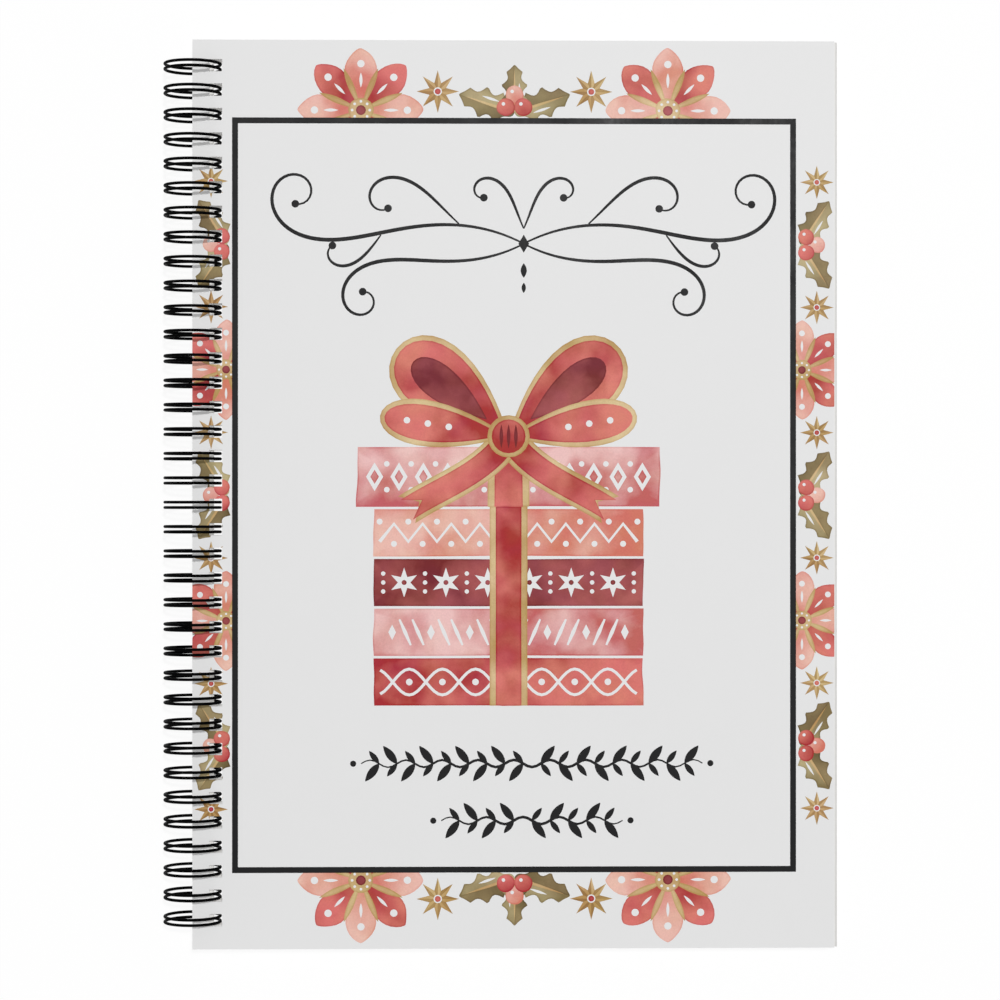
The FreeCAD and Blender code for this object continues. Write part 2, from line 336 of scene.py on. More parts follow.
class Drawing:
    """Shapes of ink on a sheet, each over the ones before it; a wash may thin along a run of two points."""

    def __init__(self, seed):
        self.shapes = []
        self.draw = random.Random(seed)

    def add(self, ink, outline, waver=0.0, run=None):
        self.shapes.append((ink, hand_drawn(outline, waver, self.draw) if waver else outline, run))

    def line(self, ink, path, width, taper_share=1.0):
        self.add(ink, stroke(path, width, taper_share))

    def dot(self, at, radius, ink="card"):
        self.add(ink, placed(disc(radius, steps=12), at))

    def block(self, ink, low, high, waver=0.0, run=None):
        """A rectangle with enough points along its sides to waver."""
        corners, steps = rectangle(low, high), 8
        sides = zip(corners, corners[1:] + corners[:1])
        self.add(ink, [a + (b - a) * s / steps for a, b in sides for s in range(steps)], waver, run)

    def frame(self, low, high, width):
        """A ruled rectangle of dark ink with bare card inside it."""
        inset = complex(width, width)
        self.add("ink", rectangle(low, high))
        self.add("card", rectangle(low + inset, high - inset))

    def bloom(self, at, radius, turn):
        """Eight petals in two colours, slim gold rays between them and a gold eye."""
        gleam_share, dot_share, ray_share, seed_share = 0.36, 0.74, 0.72, 0.14
        petal = blade(radius, width=radius * 0.5, belly=1.5, point=0.7, steps=16)
        gleam = blade(radius * 0.24, width=radius * 0.05)
        ray = blade(radius * ray_share, width=radius * 0.1, belly=1.3)
        turns = [turn + index * math.pi / 4 for index in range(8)]
        for index, angle in enumerate(turns):
            tip = at + cmath.rect(radius, angle)
            ink = "red" if index % 2 else "coral"
            self.add(ink, placed(petal, at, angle), waver=radius * 0.016, run=(at, tip))
        for angle in turns:
            self.add("card", placed(gleam, at + cmath.rect(radius * gleam_share, angle), angle))
            self.dot(at + cmath.rect(radius * dot_share, angle), radius * 0.06)
            between = angle + math.pi / 8
            tip = at + cmath.rect(radius * ray_share, between)
            self.add("gold", placed(ray, at, between), run=(tip, at))
        self.add("gold", placed(disc(radius * 0.2), at), waver=radius * 0.01)
        for angle in turns:
            self.dot(at + cmath.rect(radius * seed_share, angle), radius * 0.022)
        self.dot(at, radius * 0.08, "maroon")

    def holly_leaf(self, at, reach, turn):
        """A spiny leaf with one darker half, a gold rib and a bare gleam."""
        tip, steps = at + cmath.rect(reach, turn), 36
        outline = blade(reach, width=reach * 0.6, belly=0.9, point=0.62, steps=steps, bays=3.5)
        upper_half = outline[:steps + 1]
        self.add("olive", placed(outline, at, turn), run=(tip, at))
        self.add("moss", placed(upper_half, at, turn), run=(at, tip))
        self.add("gold", placed(blade(reach * 0.9, width=reach * 0.05, belly=0.7), at, turn))
        gleam = at + cmath.rect(reach * 0.3, turn) - cmath.rect(reach * 0.1, turn + math.pi / 2)
        self.add("card", placed(blade(reach * 0.32, width=reach * 0.045), gleam, turn))

    def berry(self, at, radius, ink):
        """A round berry with a gleam up on its left."""
        glow = cmath.rect(radius, 2.2)
        self.add(ink, placed(disc(radius, steps=20), at), waver=radius * 0.04, run=(at - glow, at + glow))
        self.dot(at + glow * 0.45, radius * 0.2)

    def holly(self, at, reach, out, spread, full):
        """Two holly leaves, or three where it is full, round a cluster of berries."""
        for lean in (-spread, spread):
            self.holly_leaf(at, reach, out + lean)
        if full:
            self.holly_leaf(at, reach * 0.82, out)
        radius = reach * 0.155
        for ink, lean, off in (("coral", 0.0, 2.0), ("red", -1.0, 1.15), ("red", 1.0, 1.15)):
            self.berry(at + cmath.rect(radius * off, out + lean), radius, ink)

    def gold_star(self, at, radius, turn):
        """An eight-pointed star with a red stone, each point with a light and a dark facet."""
        outline = placed(star(radius, points=8), at, turn)
        self.add("gold", outline, run=(at, at + radius * 1j))
        for tip, waist in zip(outline[::2], outline[1::2]):
            self.add("bronze", [at, tip, waist])
        self.dot(at, radius * 0.2)
        self.dot(at, radius * 0.14, "red")

    def border(self, low, high):
        """Blooms, holly and stars that grow out from under a panel, the same on facing sides."""
        middle, half = (low + high) / 2, (high - low) / 2
        ends = dict(places=row(0, step=17.75, half=40), radius=14.5, leaf=13.5, spread=1.25, full=True)
        sides = dict(places=row(0, step=14.5, half=74), radius=11.5, leaf=12.0, spread=1.0, full=False)
        for out in (1j, -1j):
            self.border_side(middle + out * half.imag, out, **ends)
        for out in (1, -1):
            self.border_side(middle + out * half.real, out, **sides)

    def border_side(self, middle, out, places, radius, leaf, spread, full):
        """Holly and blooms by turns along a side, from holly in its middle, with stars between them."""
        turn = cmath.phase(out)
        for index, along in places:
            at = middle + out * along * 1j
            if index % 2:
                self.gold_star(at + out * 0.42 * radius, radius * 0.34, turn)
            elif index % 4:
                self.bloom(at + out * 0.12 * radius, radius, turn)
            else:
                self.holly(at + out * 1.2, leaf, turn, spread, full)

    def flourish(self, middle, half):
        """A pen flourish with ball ends, the same on both sides of its middle."""
        drawn_half = 55
        unit = half / drawn_half
        pen = 0.95 * unit
        strokes = [
            (complex(0.0, -1.0), 0.50, 84, -0.027, 0.36, 3.0, 1.0),
            (complex(0.0, -1.0), -0.50, 62, 0.030, -0.46, 3.0, 0.95),
            (complex(15.0, 3.6), 0.75, 33, 0.010, -0.42, 2.0, 0.85),
            (complex(33.0, 1.0), -0.95, 19, 0.010, 0.54, 2.0, 0.8),
            (complex(0.0, 2.5), 1.15, 23, 0.02, -0.62, 2.0, 0.8),
        ]
        for start, heading, reach, first_turn, last_turn, ease, weight in strokes:
            path = placed(scroll(start, heading, reach, first_turn, last_turn, ease), middle, scale=unit)
            ball = placed(disc(pen * 0.95, steps=14), path[-1])
            for outline in (stroke(path, pen * weight, taper_share=0.45), ball):
                self.add("ink", outline)
                self.add("ink", mirrored(outline, middle.real))
        self.add("ink", placed(diamond(pen * 2.2), middle - 1j * unit))
        for lift, reach in ((-5.5, 3.4), (-10.0, 2.4)):
            leaf = blade(reach, width=reach * 0.42)
            self.add("ink", placed(leaf, middle + 1j * lift * unit, -math.pi / 2))

    def vine(self, middle, width, leaf_reach):
        """A waving stem with leaves above and below, in dark ink."""
        count = max(4, round(width / (leaf_reach * 0.78)))
        steps, wave, lean = 4, leaf_reach * 0.16, math.radians(52)
        stem = [complex(width * (i / (steps * count) - 0.5), wave * math.sin(math.pi * i / steps))
                for i in range(steps * count + 1)]
        self.line("ink", placed(stem, middle), leaf_reach * 0.13, taper_share=0.4)
        for index in range(1, count):
            for side in (1, -1):
                turn = side * lean if index * 2 >= count else math.pi - side * lean
                size = leaf_reach * (1.0 if (index + (side > 0)) % 2 else 0.72)
                leaf = blade(size, width=size * 0.36, belly=0.9, point=0.8)
                self.add("ink", placed(leaf, middle + stem[steps * index], turn))
        for end in (-1, 1):
            self.dot(middle + end * (width / 2 + leaf_reach * 0.35), leaf_reach * 0.14, "ink")

    def ribbon(self, foot, top, width):
        """An upright ribbon with gold edges."""
        waver, red_half = width * 0.01, width * 0.34
        self.block("gold", foot - width / 2, top + width / 2, waver)
        self.block("red", foot - red_half, top + red_half, waver, run=(top, foot))

    def bow(self, knot, wide):
        """Two tails, two loops and two folds of gold-edged ribbon round a knot."""
        def both(ink, outline, run=None):
            self.add(ink, outline, run=run)
            self.add(ink, mirrored(outline, knot.real), run=run and mirrored(run, knot.real))

        def loop(rise, reach_share, width_share):
            """Adds a loop of ribbon on both sides and gives the way that it points."""
            turn = math.radians(rise)
            way = cmath.rect(wide, turn)
            inside = teardrop(wide * (reach_share - 0.035), wide * (width_share - 0.045))
            both("gold", placed(teardrop(wide * reach_share, wide * width_share), knot, turn))
            both("red", placed(inside, knot + way * 0.02, turn), run=(knot, knot + way * reach_share))
            return way

        tail = scroll(knot, math.radians(-62), wide * 0.42, first_turn=0.055, last_turn=-0.02, steps=16)
        both("gold", stroke(tail, wide * 0.105, notch=wide * 0.05))
        both("red", stroke(tail, wide * 0.077, notch=wide * 0.06), run=(tail[0], tail[-1]))
        rise = 38
        way = loop(rise, reach_share=0.47, width_share=0.33)
        hollow = placed(teardrop(wide * 0.31, wide * 0.15), knot + way * 0.09, math.radians(rise))
        both("maroon", hollow, run=(knot + way * 0.4, knot))
        way = loop(rise=9, reach_share=0.43, width_share=0.2)
        for share in (0.2, 0.27, 0.34):
            both("card", placed(disc(wide * 0.011, steps=12), knot + way * share))
        glow = 0.06j * wide
        self.add("gold", placed(disc(wide * 0.07, steps=20), knot))
        self.add("red", placed(disc(wide * 0.056, steps=20), knot), run=(knot - glow, knot + glow))
        crease = blade(wide * 0.08, width=wide * 0.012)
        for lean in (-0.024, 0.0, 0.024):
            self.add("maroon", placed(crease, knot + complex(lean, -0.04) * wide, math.pi / 2))

    def present(self, foot, wide, high):
        """A wrapped box in banded paper with a lid, ribbon and bow, drawn from the middle of its foot."""
        band, lid_high, ribbon, half = high * 0.125, high * 0.15, wide * 0.125, wide * 0.445
        fill_share, middle_share = 0.95, 0.475
        motifs = ((self.plait, 0.52, 0.97), (self.slants, 0.52, 0.9), (self.stars, 0.3, 0.94),
                  (self.zigzag, 0.36, 0.97))
        for index, ink in enumerate(("red", "rose", "maroon", "coral")):
            low = foot + complex(-half, index * band)
            run = (low + 2 * half, low) if index % 2 else (low, low + 2 * half)
            self.block(ink, low, low + complex(2 * half, band * fill_share), wide * 0.003, run)
        for index, (motif, size_share, width_share) in enumerate(motifs):
            motif(foot + 1j * (index + middle_share) * band, band * size_share, half * width_share)
        top = foot + 4j * band
        lid_top = top + 1j * lid_high
        self.ribbon(foot, top, ribbon)
        self.block("rose", top - wide / 2, lid_top + wide / 2, wide * 0.004, run=(top, lid_top))
        self.diamonds(top + 0.5j * lid_high, lid_high * 0.24, wide * 0.48)
        self.ribbon(top, lid_top, ribbon * 1.1)
        self.bow(top + 1j * (lid_high + wide * 0.035), wide)

    def plait(self, middle, height, half):
        """Two crossing waves with a dot in each eye."""
        places, eye_steps = row(middle, height * 0.16, half), 8
        for phase in (0, math.pi):
            turns = [math.pi * index / eye_steps + phase for index, at in places]
            path = [at + 0.5j * height * math.cos(turn) for turn, (index, at) in zip(turns, places)]
            self.line("card", path, height * 0.11)
        for index, at in places:
            if index % eye_steps == 0:
                self.dot(at, height * 0.13)

    def slants(self, middle, height, half):
        """Slanting strokes that lean away from the middle, two and two between diamonds."""
        for index, at in row(middle, height * 0.5, half):
            lean = complex(math.copysign(height * 0.22, index), height * 0.5)
            if index % 3:
                self.line("card", [at - lean, at, at + lean], height * 0.15, taper_share=0.5)
            else:
                self.add("card", placed(diamond(height * 0.3, width_share=0.5), at))

    def stars(self, middle, radius, half):
        """Six-pointed stars with dots between them."""
        for index, at in row(middle, radius * 1.4, half):
            if index % 2:
                self.add("card", placed(star(radius, points=6), at, math.pi / 2))
                self.dot(at, radius * 0.17, "maroon")
            else:
                for lift in (-0.6, 0.0, 0.6):
                    self.dot(at + 1j * radius * lift, radius * 0.15)

    def zigzag(self, middle, height, half):
        """A zigzag line with a dot in each nook."""
        places = row(middle, height * 0.8, half)
        self.line("card", [at + 0.5j * height * (-1) ** index for index, at in places], height * 0.2)
        for index, at in places:
            self.dot(at - 0.62j * height * (-1) ** index, height * 0.17)

    def diamonds(self, middle, radius, half):
        """Diamonds in a row between two rows of dots."""
        for index, at in row(middle, radius * 0.85, half):
            if index % 2:
                self.add("card", placed(diamond(radius), at))
                self.add("rose", placed(diamond(radius * 0.5), at))
            else:
                for lift in (-0.9, 0.9):
                    self.dot(at + 1j * radius * lift, radius * 0.2)


def cover_drawing():
    """The front cover, from its spine edge: a printed border, a ruled panel and a wrapped present."""
    drawing = Drawing(seed=7)
    panel_low, panel_high = complex(9.15, -87.4), complex(139.6, 87.07)
    drawing.border(panel_low, panel_high)
    drawing.frame(panel_low, panel_high, width=1.37)
    drawing.flourish(complex(76.5, 59), half=55)
    drawing.present(foot=complex(73.0, -48.8), wide=70, high=92)
    for lift, width in ((-62.2, 79.0), (-75.4, 42.0)):
        drawing.vine(complex(78.4, lift), width, leaf_reach=5.2)
    return drawing.shapes


def leaf_drawing(sizes):
    """A leaf's face: a strip of painted shade along its fore-edge, thin ruled frames with blooms in their
    corners, and vines and stars.
    """
    drawing = Drawing(seed=11)
    wide, high, edge_shade_width = sizes.sheet_width / MM, sizes.sheet_height / MM, 0.36
    # The edge ink is painted shade: a darker strip along the fore-edge, where the edge of the stack falls
    # into shade
    drawing.add("edge", rectangle(complex(wide - edge_shade_width, -high), complex(2 * wide, high)))
    low, top, inset = complex(14, -97), complex(140, 97), complex(1.4, 1.4)
    drawing.frame(low, top, width=0.5)
    drawing.frame(low + inset, top - inset, width=0.25)
    for corner in rectangle(low + 6 * inset, top - 6 * inset):
        drawing.bloom(corner, radius=5.2, turn=0.0)
    middle, end_lift, star_reach = sizes.pocket_centre / MM, 86, 34
    drawing.vine(complex(middle, 0.0), width=64, leaf_reach=4.4)
    for side in (1, -1):
        drawing.vine(complex(middle, side * end_lift), width=48, leaf_reach=4.0)
        for out in (-star_reach, star_reach):
            drawing.gold_star(complex(middle + out, side * end_lift), radius=1.9, turn=0.0)
    return drawing.shapes


def notched(whole, radius, inset):
    """A panel's outline, or one inside it, with a round bite for a thumb in its upper side."""
    thumb, corner, steps = complex(whole.real / 2, whole.imag), complex(inset, inset), 24
    first = -math.asin(inset / (radius + inset))
    turns = [first - (math.pi + 2 * first) * step / steps for step in range(steps + 1)]
    low_left, low_right, high_right, high_left = rectangle(corner, whole - corner)
    bite = [thumb + cmath.rect(radius + inset, turn) for turn in turns]
    return [low_left, low_right, high_right, *bite, high_left]


def panel_drawing(whole, thumb_radius):
    """A pocket's panel: a red wash with bare dots and rose stars, and a bare line along its rim."""
    drawing = Drawing(seed=13)
    rim, line, clear = 2.4, 0.55, 1.8
    slope = (0j, whole)
    drawing.add("red", rectangle(-whole, 2 * whole), run=slope)
    drawing.add("card", notched(whole, thumb_radius, rim))
    drawing.add("red", notched(whole, thumb_radius, rim + line), run=slope)
    thumb = complex(whole.real / 2, whole.imag)
    rows, lowest, row_step = 5, 8.4, 9.8
    for number in range(rows):
        for index, at in row(complex(whole.real / 2, lowest + row_step * number), step=4.5, half=44):
            if (index + number) % 2 or abs(at - thumb) < thumb_radius + rim + line + clear:
                continue
            if (index + number) % 4:
                drawing.dot(at, radius=0.75)
            else:
                drawing.add("rose", placed(star(radius=1.5, points=6), at))
    return drawing.shapes


# Cutting a printed face into triangles

def counter_clockwise(outline):
    area = sum((a.conjugate() * b).imag for a, b in zip(outline, outline[1:] + outline[:1]))
    return outline if area > 0 else outline[::-1]


def inset_ring(outline, distance):
    """A ring just inside an outline, where a wash has thinned to its even tone."""
    ring = []
    count = len(outline)
    for index, point in enumerate(outline):
        ahead = outline[(index + 1) % count] - outline[index - 1]
        if abs(ahead):
            ring.append(point + ahead / abs(ahead) * 1j * distance)
    return ring


def distance_to_outline(points, outline):
    """Distance of each point to the nearest side of an outline."""
    start, least = np.array(outline), 1e-12
    side = np.roll(start, -1) - start
    offset = points[:, None] - start[None, :]
    along = np.clip((offset * side.conj()).real / np.maximum(np.abs(side) ** 2, least), 0, 1)
    return np.abs(offset - along * side).min(axis=1)


def cut_face(outline, openings, shapes, pool_width):
    """Triangles of a printed face: points, triangles, the ink of each, and how its wash pools and thins."""
    printed = [shape for ink, shape, run in shapes]
    loops = [counter_clockwise(loop) for loop in [outline] + openings + printed]
    first_shape = 1 + len(openings)
    points, faces, edges = [], [], []
    for index, loop in enumerate(loops):
        faces.append(list(range(len(points), len(points) + len(loop))))
        points += loop
        if index >= first_shape and shapes[index - first_shape][0] in WASHES:
            ring = inset_ring(loop, pool_width)
            first = len(points)
            edges += [(first + i, first + (i + 1) % len(ring)) for i in range(len(ring))]
            points += ring
    flat = [Vector((p.real, p.imag)) for p in points]
    all_triangles, join_distance = 0, 1e-5
    found, _, cells, _, _, owners = delaunay_2d_cdt(flat, edges, faces, all_triangles, join_distance)
    triangles, cell_owner = [], []
    for cell, owner in zip(cells, owners):
        if 0 in owner and not any(0 < number < first_shape for number in owner):
            triangles.append(cell)
            cell_owner.append(max(owner))
    triangles, cell_owner = np.array(triangles), np.array(cell_owner)
    place = np.array([complex(p.x, p.y) for p in found])
    pool, thinning = np.ones(triangles.shape), np.full(triangles.shape, 0.5)
    inks = ["card"] * len(triangles)
    for owner in np.unique(cell_owner):
        if owner < first_shape:
            continue
        mine = cell_owner == owner
        ink, _, run = shapes[owner - first_shape]
        for index in np.flatnonzero(mine):
            inks[index] = ink
        if ink in WASHES:
            corners = place[triangles[mine]].ravel()
            share = distance_to_outline(corners, loops[owner]) / pool_width
            pool[mine] = np.clip(share, 0, 1).reshape(-1, 3)
            if run:
                way = run[1] - run[0]
                along = ((corners - run[0]) * way.conjugate()).real / abs(way) ** 2
                thinning[mine] = np.clip(along, 0, 1).reshape(-1, 3)
    used, triangles = np.unique(triangles, return_inverse=True)
    return place[used], triangles.reshape(-1, 3), inks, {"pool": pool, "thinning": thinning}


def sheet_face(plan, shapes, pool_width):
    """The printed face of a whole sheet, punched along its spine."""
    wide, high = plan.sizes.sheet_width / MM, plan.sizes.sheet_height / MM
    outline = rectangle(complex(0, -high / 2), complex(wide, high / 2))
    return cut_face(outline, plan.holes(), shapes, pool_width)


def card_mesh(name, face, thickness, slots):
    """A closed sheet of card, printed on its upper side."""
    place, triangles, inks, washes = face
    count = len(place)
    flat = np.stack([place.real * MM, place.imag * MM], axis=1)
    top = np.column_stack([flat, np.full(count, thickness)])
    bottom = np.column_stack([flat, np.zeros(count)])
    sides = np.concatenate([triangles[:, [0, 1]], triangles[:, [1, 2]], triangles[:, [2, 0]]])
    known = {(a, b) for a, b in sides.tolist()}
    walls = sorted((a, a + count, b + count, b) for a, b in known if (b, a) not in known)
    faces = triangles.tolist() + (triangles[:, ::-1] + count).tolist() + walls
    mesh = bpy.data.meshes.new(name)
    mesh.from_pydata(np.concatenate([top, bottom]).tolist(), [], faces)
    plain = slots.index("card")
    indices = [slots.index(ink) for ink in inks] + [plain] * (len(triangles) + len(walls))
    mesh.polygons.foreach_set("material_index", indices)
    for title, values in washes.items():
        whole = np.concatenate([values.ravel(), np.ones(3 * len(triangles) + 4 * len(walls))])
        attribute = mesh.attributes.new(title, "FLOAT", "CORNER")
        attribute.data.foreach_set("value", whole.astype(np.float32))
    mesh.update()
    return mesh


def put(name, data):
    """A new object in the scene."""
    thing = bpy.data.objects.new(name, data)
    bpy.context.scene.collection.objects.link(thing)
    return thing


def add_piece(name, mesh, body, replaced, materials, matrix):
    """Puts a finished mesh into the scene as a piece that rides on a body and stands for a node."""
    mesh.transform(matrix)
    if mesh.validate():
        raise RuntimeError("%s has broken faces" % name)
    piece = put(name, mesh)
    for material in materials:
        mesh.materials.append(material)
    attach(piece, body)
    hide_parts(replaced)


# Shader node groups shared by the materials

class Nodes:
    """Short calls for adding and linking nodes in one tree."""

    def __init__(self, tree):
        self.tree = tree

    def feed(self, node, inputs):
        """Sets a node's inputs, by name or number, or links them where a socket is given."""
        for key, value in inputs.items():
            if isinstance(value, bpy.types.NodeSocket):
                self.tree.links.new(value, node.inputs[key])
            else:
                node.inputs[key].default_value = value

    def add(self, kind, inputs=None, **settings):
        node = self.tree.nodes.new(kind)
        for name, value in settings.items():
            setattr(node, name, value)
        self.feed(node, inputs or {})
        return node

    def place(self):
        """Where a point lies on its piece."""
        return self.add("ShaderNodeTexCoord").outputs["Object"]

    def attribute(self, title):
        return self.add("ShaderNodeAttribute", attribute_name=title).outputs["Fac"]

    def math(self, operation, *values, clamp=False):
        inputs = dict(enumerate(values))
        return self.add("ShaderNodeMath", inputs, operation=operation, use_clamp=clamp).outputs[0]

    def weighed(self, first, first_share, second, second_share):
        """Two values added, each times its share."""
        parts = self.math("MULTIPLY", first, first_share), self.math("MULTIPLY", second, second_share)
        return self.math("ADD", *parts)

    def grey(self, value):
        return self.add("ShaderNodeCombineColor", {0: value, 1: value, 2: value}).outputs[0]

    def mix(self, share, first, second, blend="MIX"):
        inputs = {0: share, 6: first, 7: second}
        return self.add("ShaderNodeMix", inputs, data_type="RGBA", blend_type=blend).outputs[2]

    def noise(self, vector, scale, detail=3.0, roughness=0.55, distortion=0.0):
        inputs = {"Vector": vector, "Scale": scale, "Detail": detail, "Roughness": roughness,
                  "Distortion": distortion}
        return self.add("ShaderNodeTexNoise", inputs).outputs[0]

    def span(self, value, low, high, to_low=0.0, to_high=1.0):
        inputs = {"Value": value, "From Min": low, "From Max": high, "To Min": to_low, "To Max": to_high}
        return self.add("ShaderNodeMapRange", inputs).outputs[0]

    def relief(self, height, strength, distance, invert=False):
        inputs = {"Height": height, "Strength": strength, "Distance": distance}
        return self.add("ShaderNodeBump", inputs, invert=invert).outputs["Normal"]

    def shared(self, name, make, inputs):
        """Outputs of a shared group, made at its first use and given this material's own values."""
        tree = bpy.data.node_groups.get(name) or make(name)
        return self.add("ShaderNodeGroup", inputs, node_tree=tree).outputs


def new_group(name, inputs, outputs):
    """Starts a node group: gives it, its nodes, what it is given and where a point lies on its piece."""
    group = bpy.data.node_groups.new(name, "ShaderNodeTree")
    for title, default in inputs.items():
        kind = VALUE if isinstance(default, float) else COLOUR
        group.interface.new_socket(name=title, in_out="INPUT", socket_type=kind).default_value = default
    for title, kind in outputs.items():
        group.interface.new_socket(name=title, in_out="OUTPUT", socket_type=kind)
    nodes = Nodes(group)
    return group, nodes, nodes.add("NodeGroupInput").outputs, nodes.place()


def fibre_group(name):
    """Card stock: a faint mottle, short fibres, and the tooth that they give the surface."""
    inputs = {"Tint": (0.8, 0.8, 0.8, 1.0), "Mottle": 0.03, "Polish": 0.5}
    outputs = {"Colour": COLOUR, "Roughness": VALUE, "Height": VALUE}
    group, nodes, given, place = new_group(name, inputs, outputs)
    stretch = nodes.add("ShaderNodeMapping", {"Vector": place, "Scale": (1.0, 0.35, 1.0)})
    cloud = nodes.noise(place, scale=95.0)
    fibre = nodes.noise(stretch.outputs[0], scale=2100.0, detail=4.0, roughness=0.6)
    tooth = nodes.noise(place, scale=3600.0, detail=2.0, roughness=0.5)
    shade = nodes.weighed(cloud, 0.6, fibre, 0.4)
    swing = nodes.math("MULTIPLY", nodes.math("SUBTRACT", shade, 0.5), given["Mottle"])
    gain = nodes.grey(nodes.math("ADD", swing, 1.0))
    dulling = nodes.math("MULTIPLY", swing, 3.0)
    nodes.add("NodeGroupOutput", {"Colour": nodes.mix(1.0, given["Tint"], gain, "MULTIPLY"),
                                  "Roughness": nodes.math("ADD", given["Polish"], dulling),
                                  "Height": nodes.weighed(fibre, 0.6, tooth, 0.4)})
    return group


def wash_group(name):
    """Watercolour as it prints: soft blooms of thin and deep colour, a pooled rim and grain."""
    inputs = {"Thin": (0.8, 0.5, 0.5, 1.0), "Deep": (0.5, 0.1, 0.1, 1.0), "Rim": 0.5}
    group, nodes, given, place = new_group(name, inputs, {"Colour": COLOUR})
    broad = nodes.noise(place, scale=100.0, detail=1.5, roughness=0.45, distortion=0.4)
    patchy = nodes.noise(place, scale=380.0, distortion=0.3)
    drift = nodes.noise(place, scale=140.0, detail=1.0)
    grain = nodes.noise(place, scale=2600.0, detail=2.0)
    bloom, cloud = nodes.span(broad, 0.32, 0.68), nodes.span(patchy, 0.3, 0.72)
    depth = nodes.weighed(bloom, 0.8, cloud, 0.2)
    rim = nodes.math("MULTIPLY", nodes.math("SUBTRACT", 1.0, nodes.attribute("pool")), given["Rim"])
    slope = nodes.math("MULTIPLY", nodes.math("SUBTRACT", 0.45, nodes.attribute("thinning")), 0.7)
    share = nodes.math("ADD", nodes.math("ADD", depth, slope), rim, clamp=True)
    tinted = nodes.add("ShaderNodeHueSaturation", {"Hue": nodes.span(drift, 0.34, 0.66, 0.494, 0.507),
                                                   "Color": nodes.mix(share, given["Thin"], given["Deep"])})
    fleck = nodes.grey(nodes.span(grain, 0.3, 0.75, 0.94, 1.05))
    nodes.add("NodeGroupOutput", {"Colour": nodes.mix(1.0, tinted.outputs[0], fleck, "MULTIPLY")})
    return group


# Materials

def opaque(value):
    return (*value, 1.0)


def new_material(name, swatch):
    material = bpy.data.materials.new(name)
    material.use_nodes = True
    material.diffuse_color = opaque(swatch)
    nodes = Nodes(material.node_tree)
    return material, nodes, material.node_tree.nodes["Principled BSDF"]


def card_material(name, swatch, deep=None, mottle=0.03, polish=0.42):
    """Card of one tint, or printed with a wash where a deep colour is given, on the shared fibre."""
    material, nodes, shader = new_material(name, swatch)
    tint = opaque(swatch)
    if deep is not None:
        inks = {"Thin": opaque(swatch), "Deep": opaque(deep), "Rim": 0.4}
        tint = nodes.shared("watercolour_wash", wash_group, inputs=inks)["Colour"]
    stock = {"Tint": tint, "Mottle": mottle, "Polish": polish}
    fibre = nodes.shared("card_fibre", fibre_group, inputs=stock)
    nodes.feed(shader, {"Base Color": fibre["Colour"], "Roughness": fibre["Roughness"],
                        "Normal": nodes.relief(fibre["Height"], strength=0.02, distance=0.0001),
                        "Specular IOR Level": 0.1})
    return material


def ink_material(ink):
    """One printed ink, or the painted shade at the leaves' fore-edge, made once and used on every sheet."""
    name = "print_" + ink
    if name in bpy.data.materials:
        return bpy.data.materials[name]
    if ink in WASHES:
        return card_material(name, getattr(tones(), ink + "_thin"), getattr(tones(), ink + "_deep"))
    # Any other ink is the edge strip: painted shade along the leaves' fore-edge, in the leaf edge colour
    return card_material(name, tones().ink if ink == "ink" else tones().leaf_edge, mottle=0.2)


def print_materials(card, inks):
    """The card's own material and one for each ink on it, in slot order."""
    return [card if ink == "card" else ink_material(ink) for ink in inks]


def ink_slots(shapes):
    return ["card"] + sorted({ink for ink, outline, run in shapes} - {"card"})


def wire_material():
    """Black coat on steel: nearly matt, with a fine orange-peel and rubbed places."""
    coat = tones().wire
    material, nodes, shader = new_material("wire_black_coat", coat)
    place = nodes.place()
    peel = nodes.noise(place, scale=4200.0, detail=2.0)
    rub = nodes.span(nodes.noise(place, scale=900.0, roughness=0.6), 0.58, 0.78)
    worn = [value * 5 for value in coat]
    nodes.feed(shader, {"Base Color": nodes.mix(rub, opaque(coat), opaque(worn)),
                        "Roughness": nodes.span(rub, 0.0, 1.0, to_low=0.5, to_high=0.36),
                        "Normal": nodes.relief(peel, strength=0.08, distance=0.00005),
                        "Specular IOR Level": 0.015})
    return material


def foam_material():
    """White foam tape: small open cells on its cut sides, with painted shade darkening the pits of the
    cells.
    """
    foam = tones().foam
    material, nodes, shader = new_material("tape_white_foam", foam)
    cells = nodes.add("ShaderNodeTexVoronoi", {"Vector": nodes.place(), "Scale": 4200.0})
    pit_and_shade = nodes.span(cells.outputs["Distance"], 0.1, 0.7)
    # Painted shade: the colour is darkened in the pits of the cells, while the same mask also roughens and
    # dents them
    dark = [value * 0.72 for value in foam]
    nodes.feed(shader, {"Base Color": nodes.mix(pit_and_shade, opaque(foam), opaque(dark)),
                        "Roughness": nodes.span(pit_and_shade, 0.0, 1.0, to_low=0.7, to_high=0.9),
                        "Normal": nodes.relief(pit_and_shade, strength=0.35, distance=0.0001, invert=True)})
    return material


def dress_node(node, material):
    """Gives a shown CAD node its material."""
    mesh_owner = frame["nodes"][node]
    if not mesh_owner.material_slots:
        mesh_owner.data.materials.append(material)
    for place in mesh_owner.material_slots:
        place.material = material


# Wire

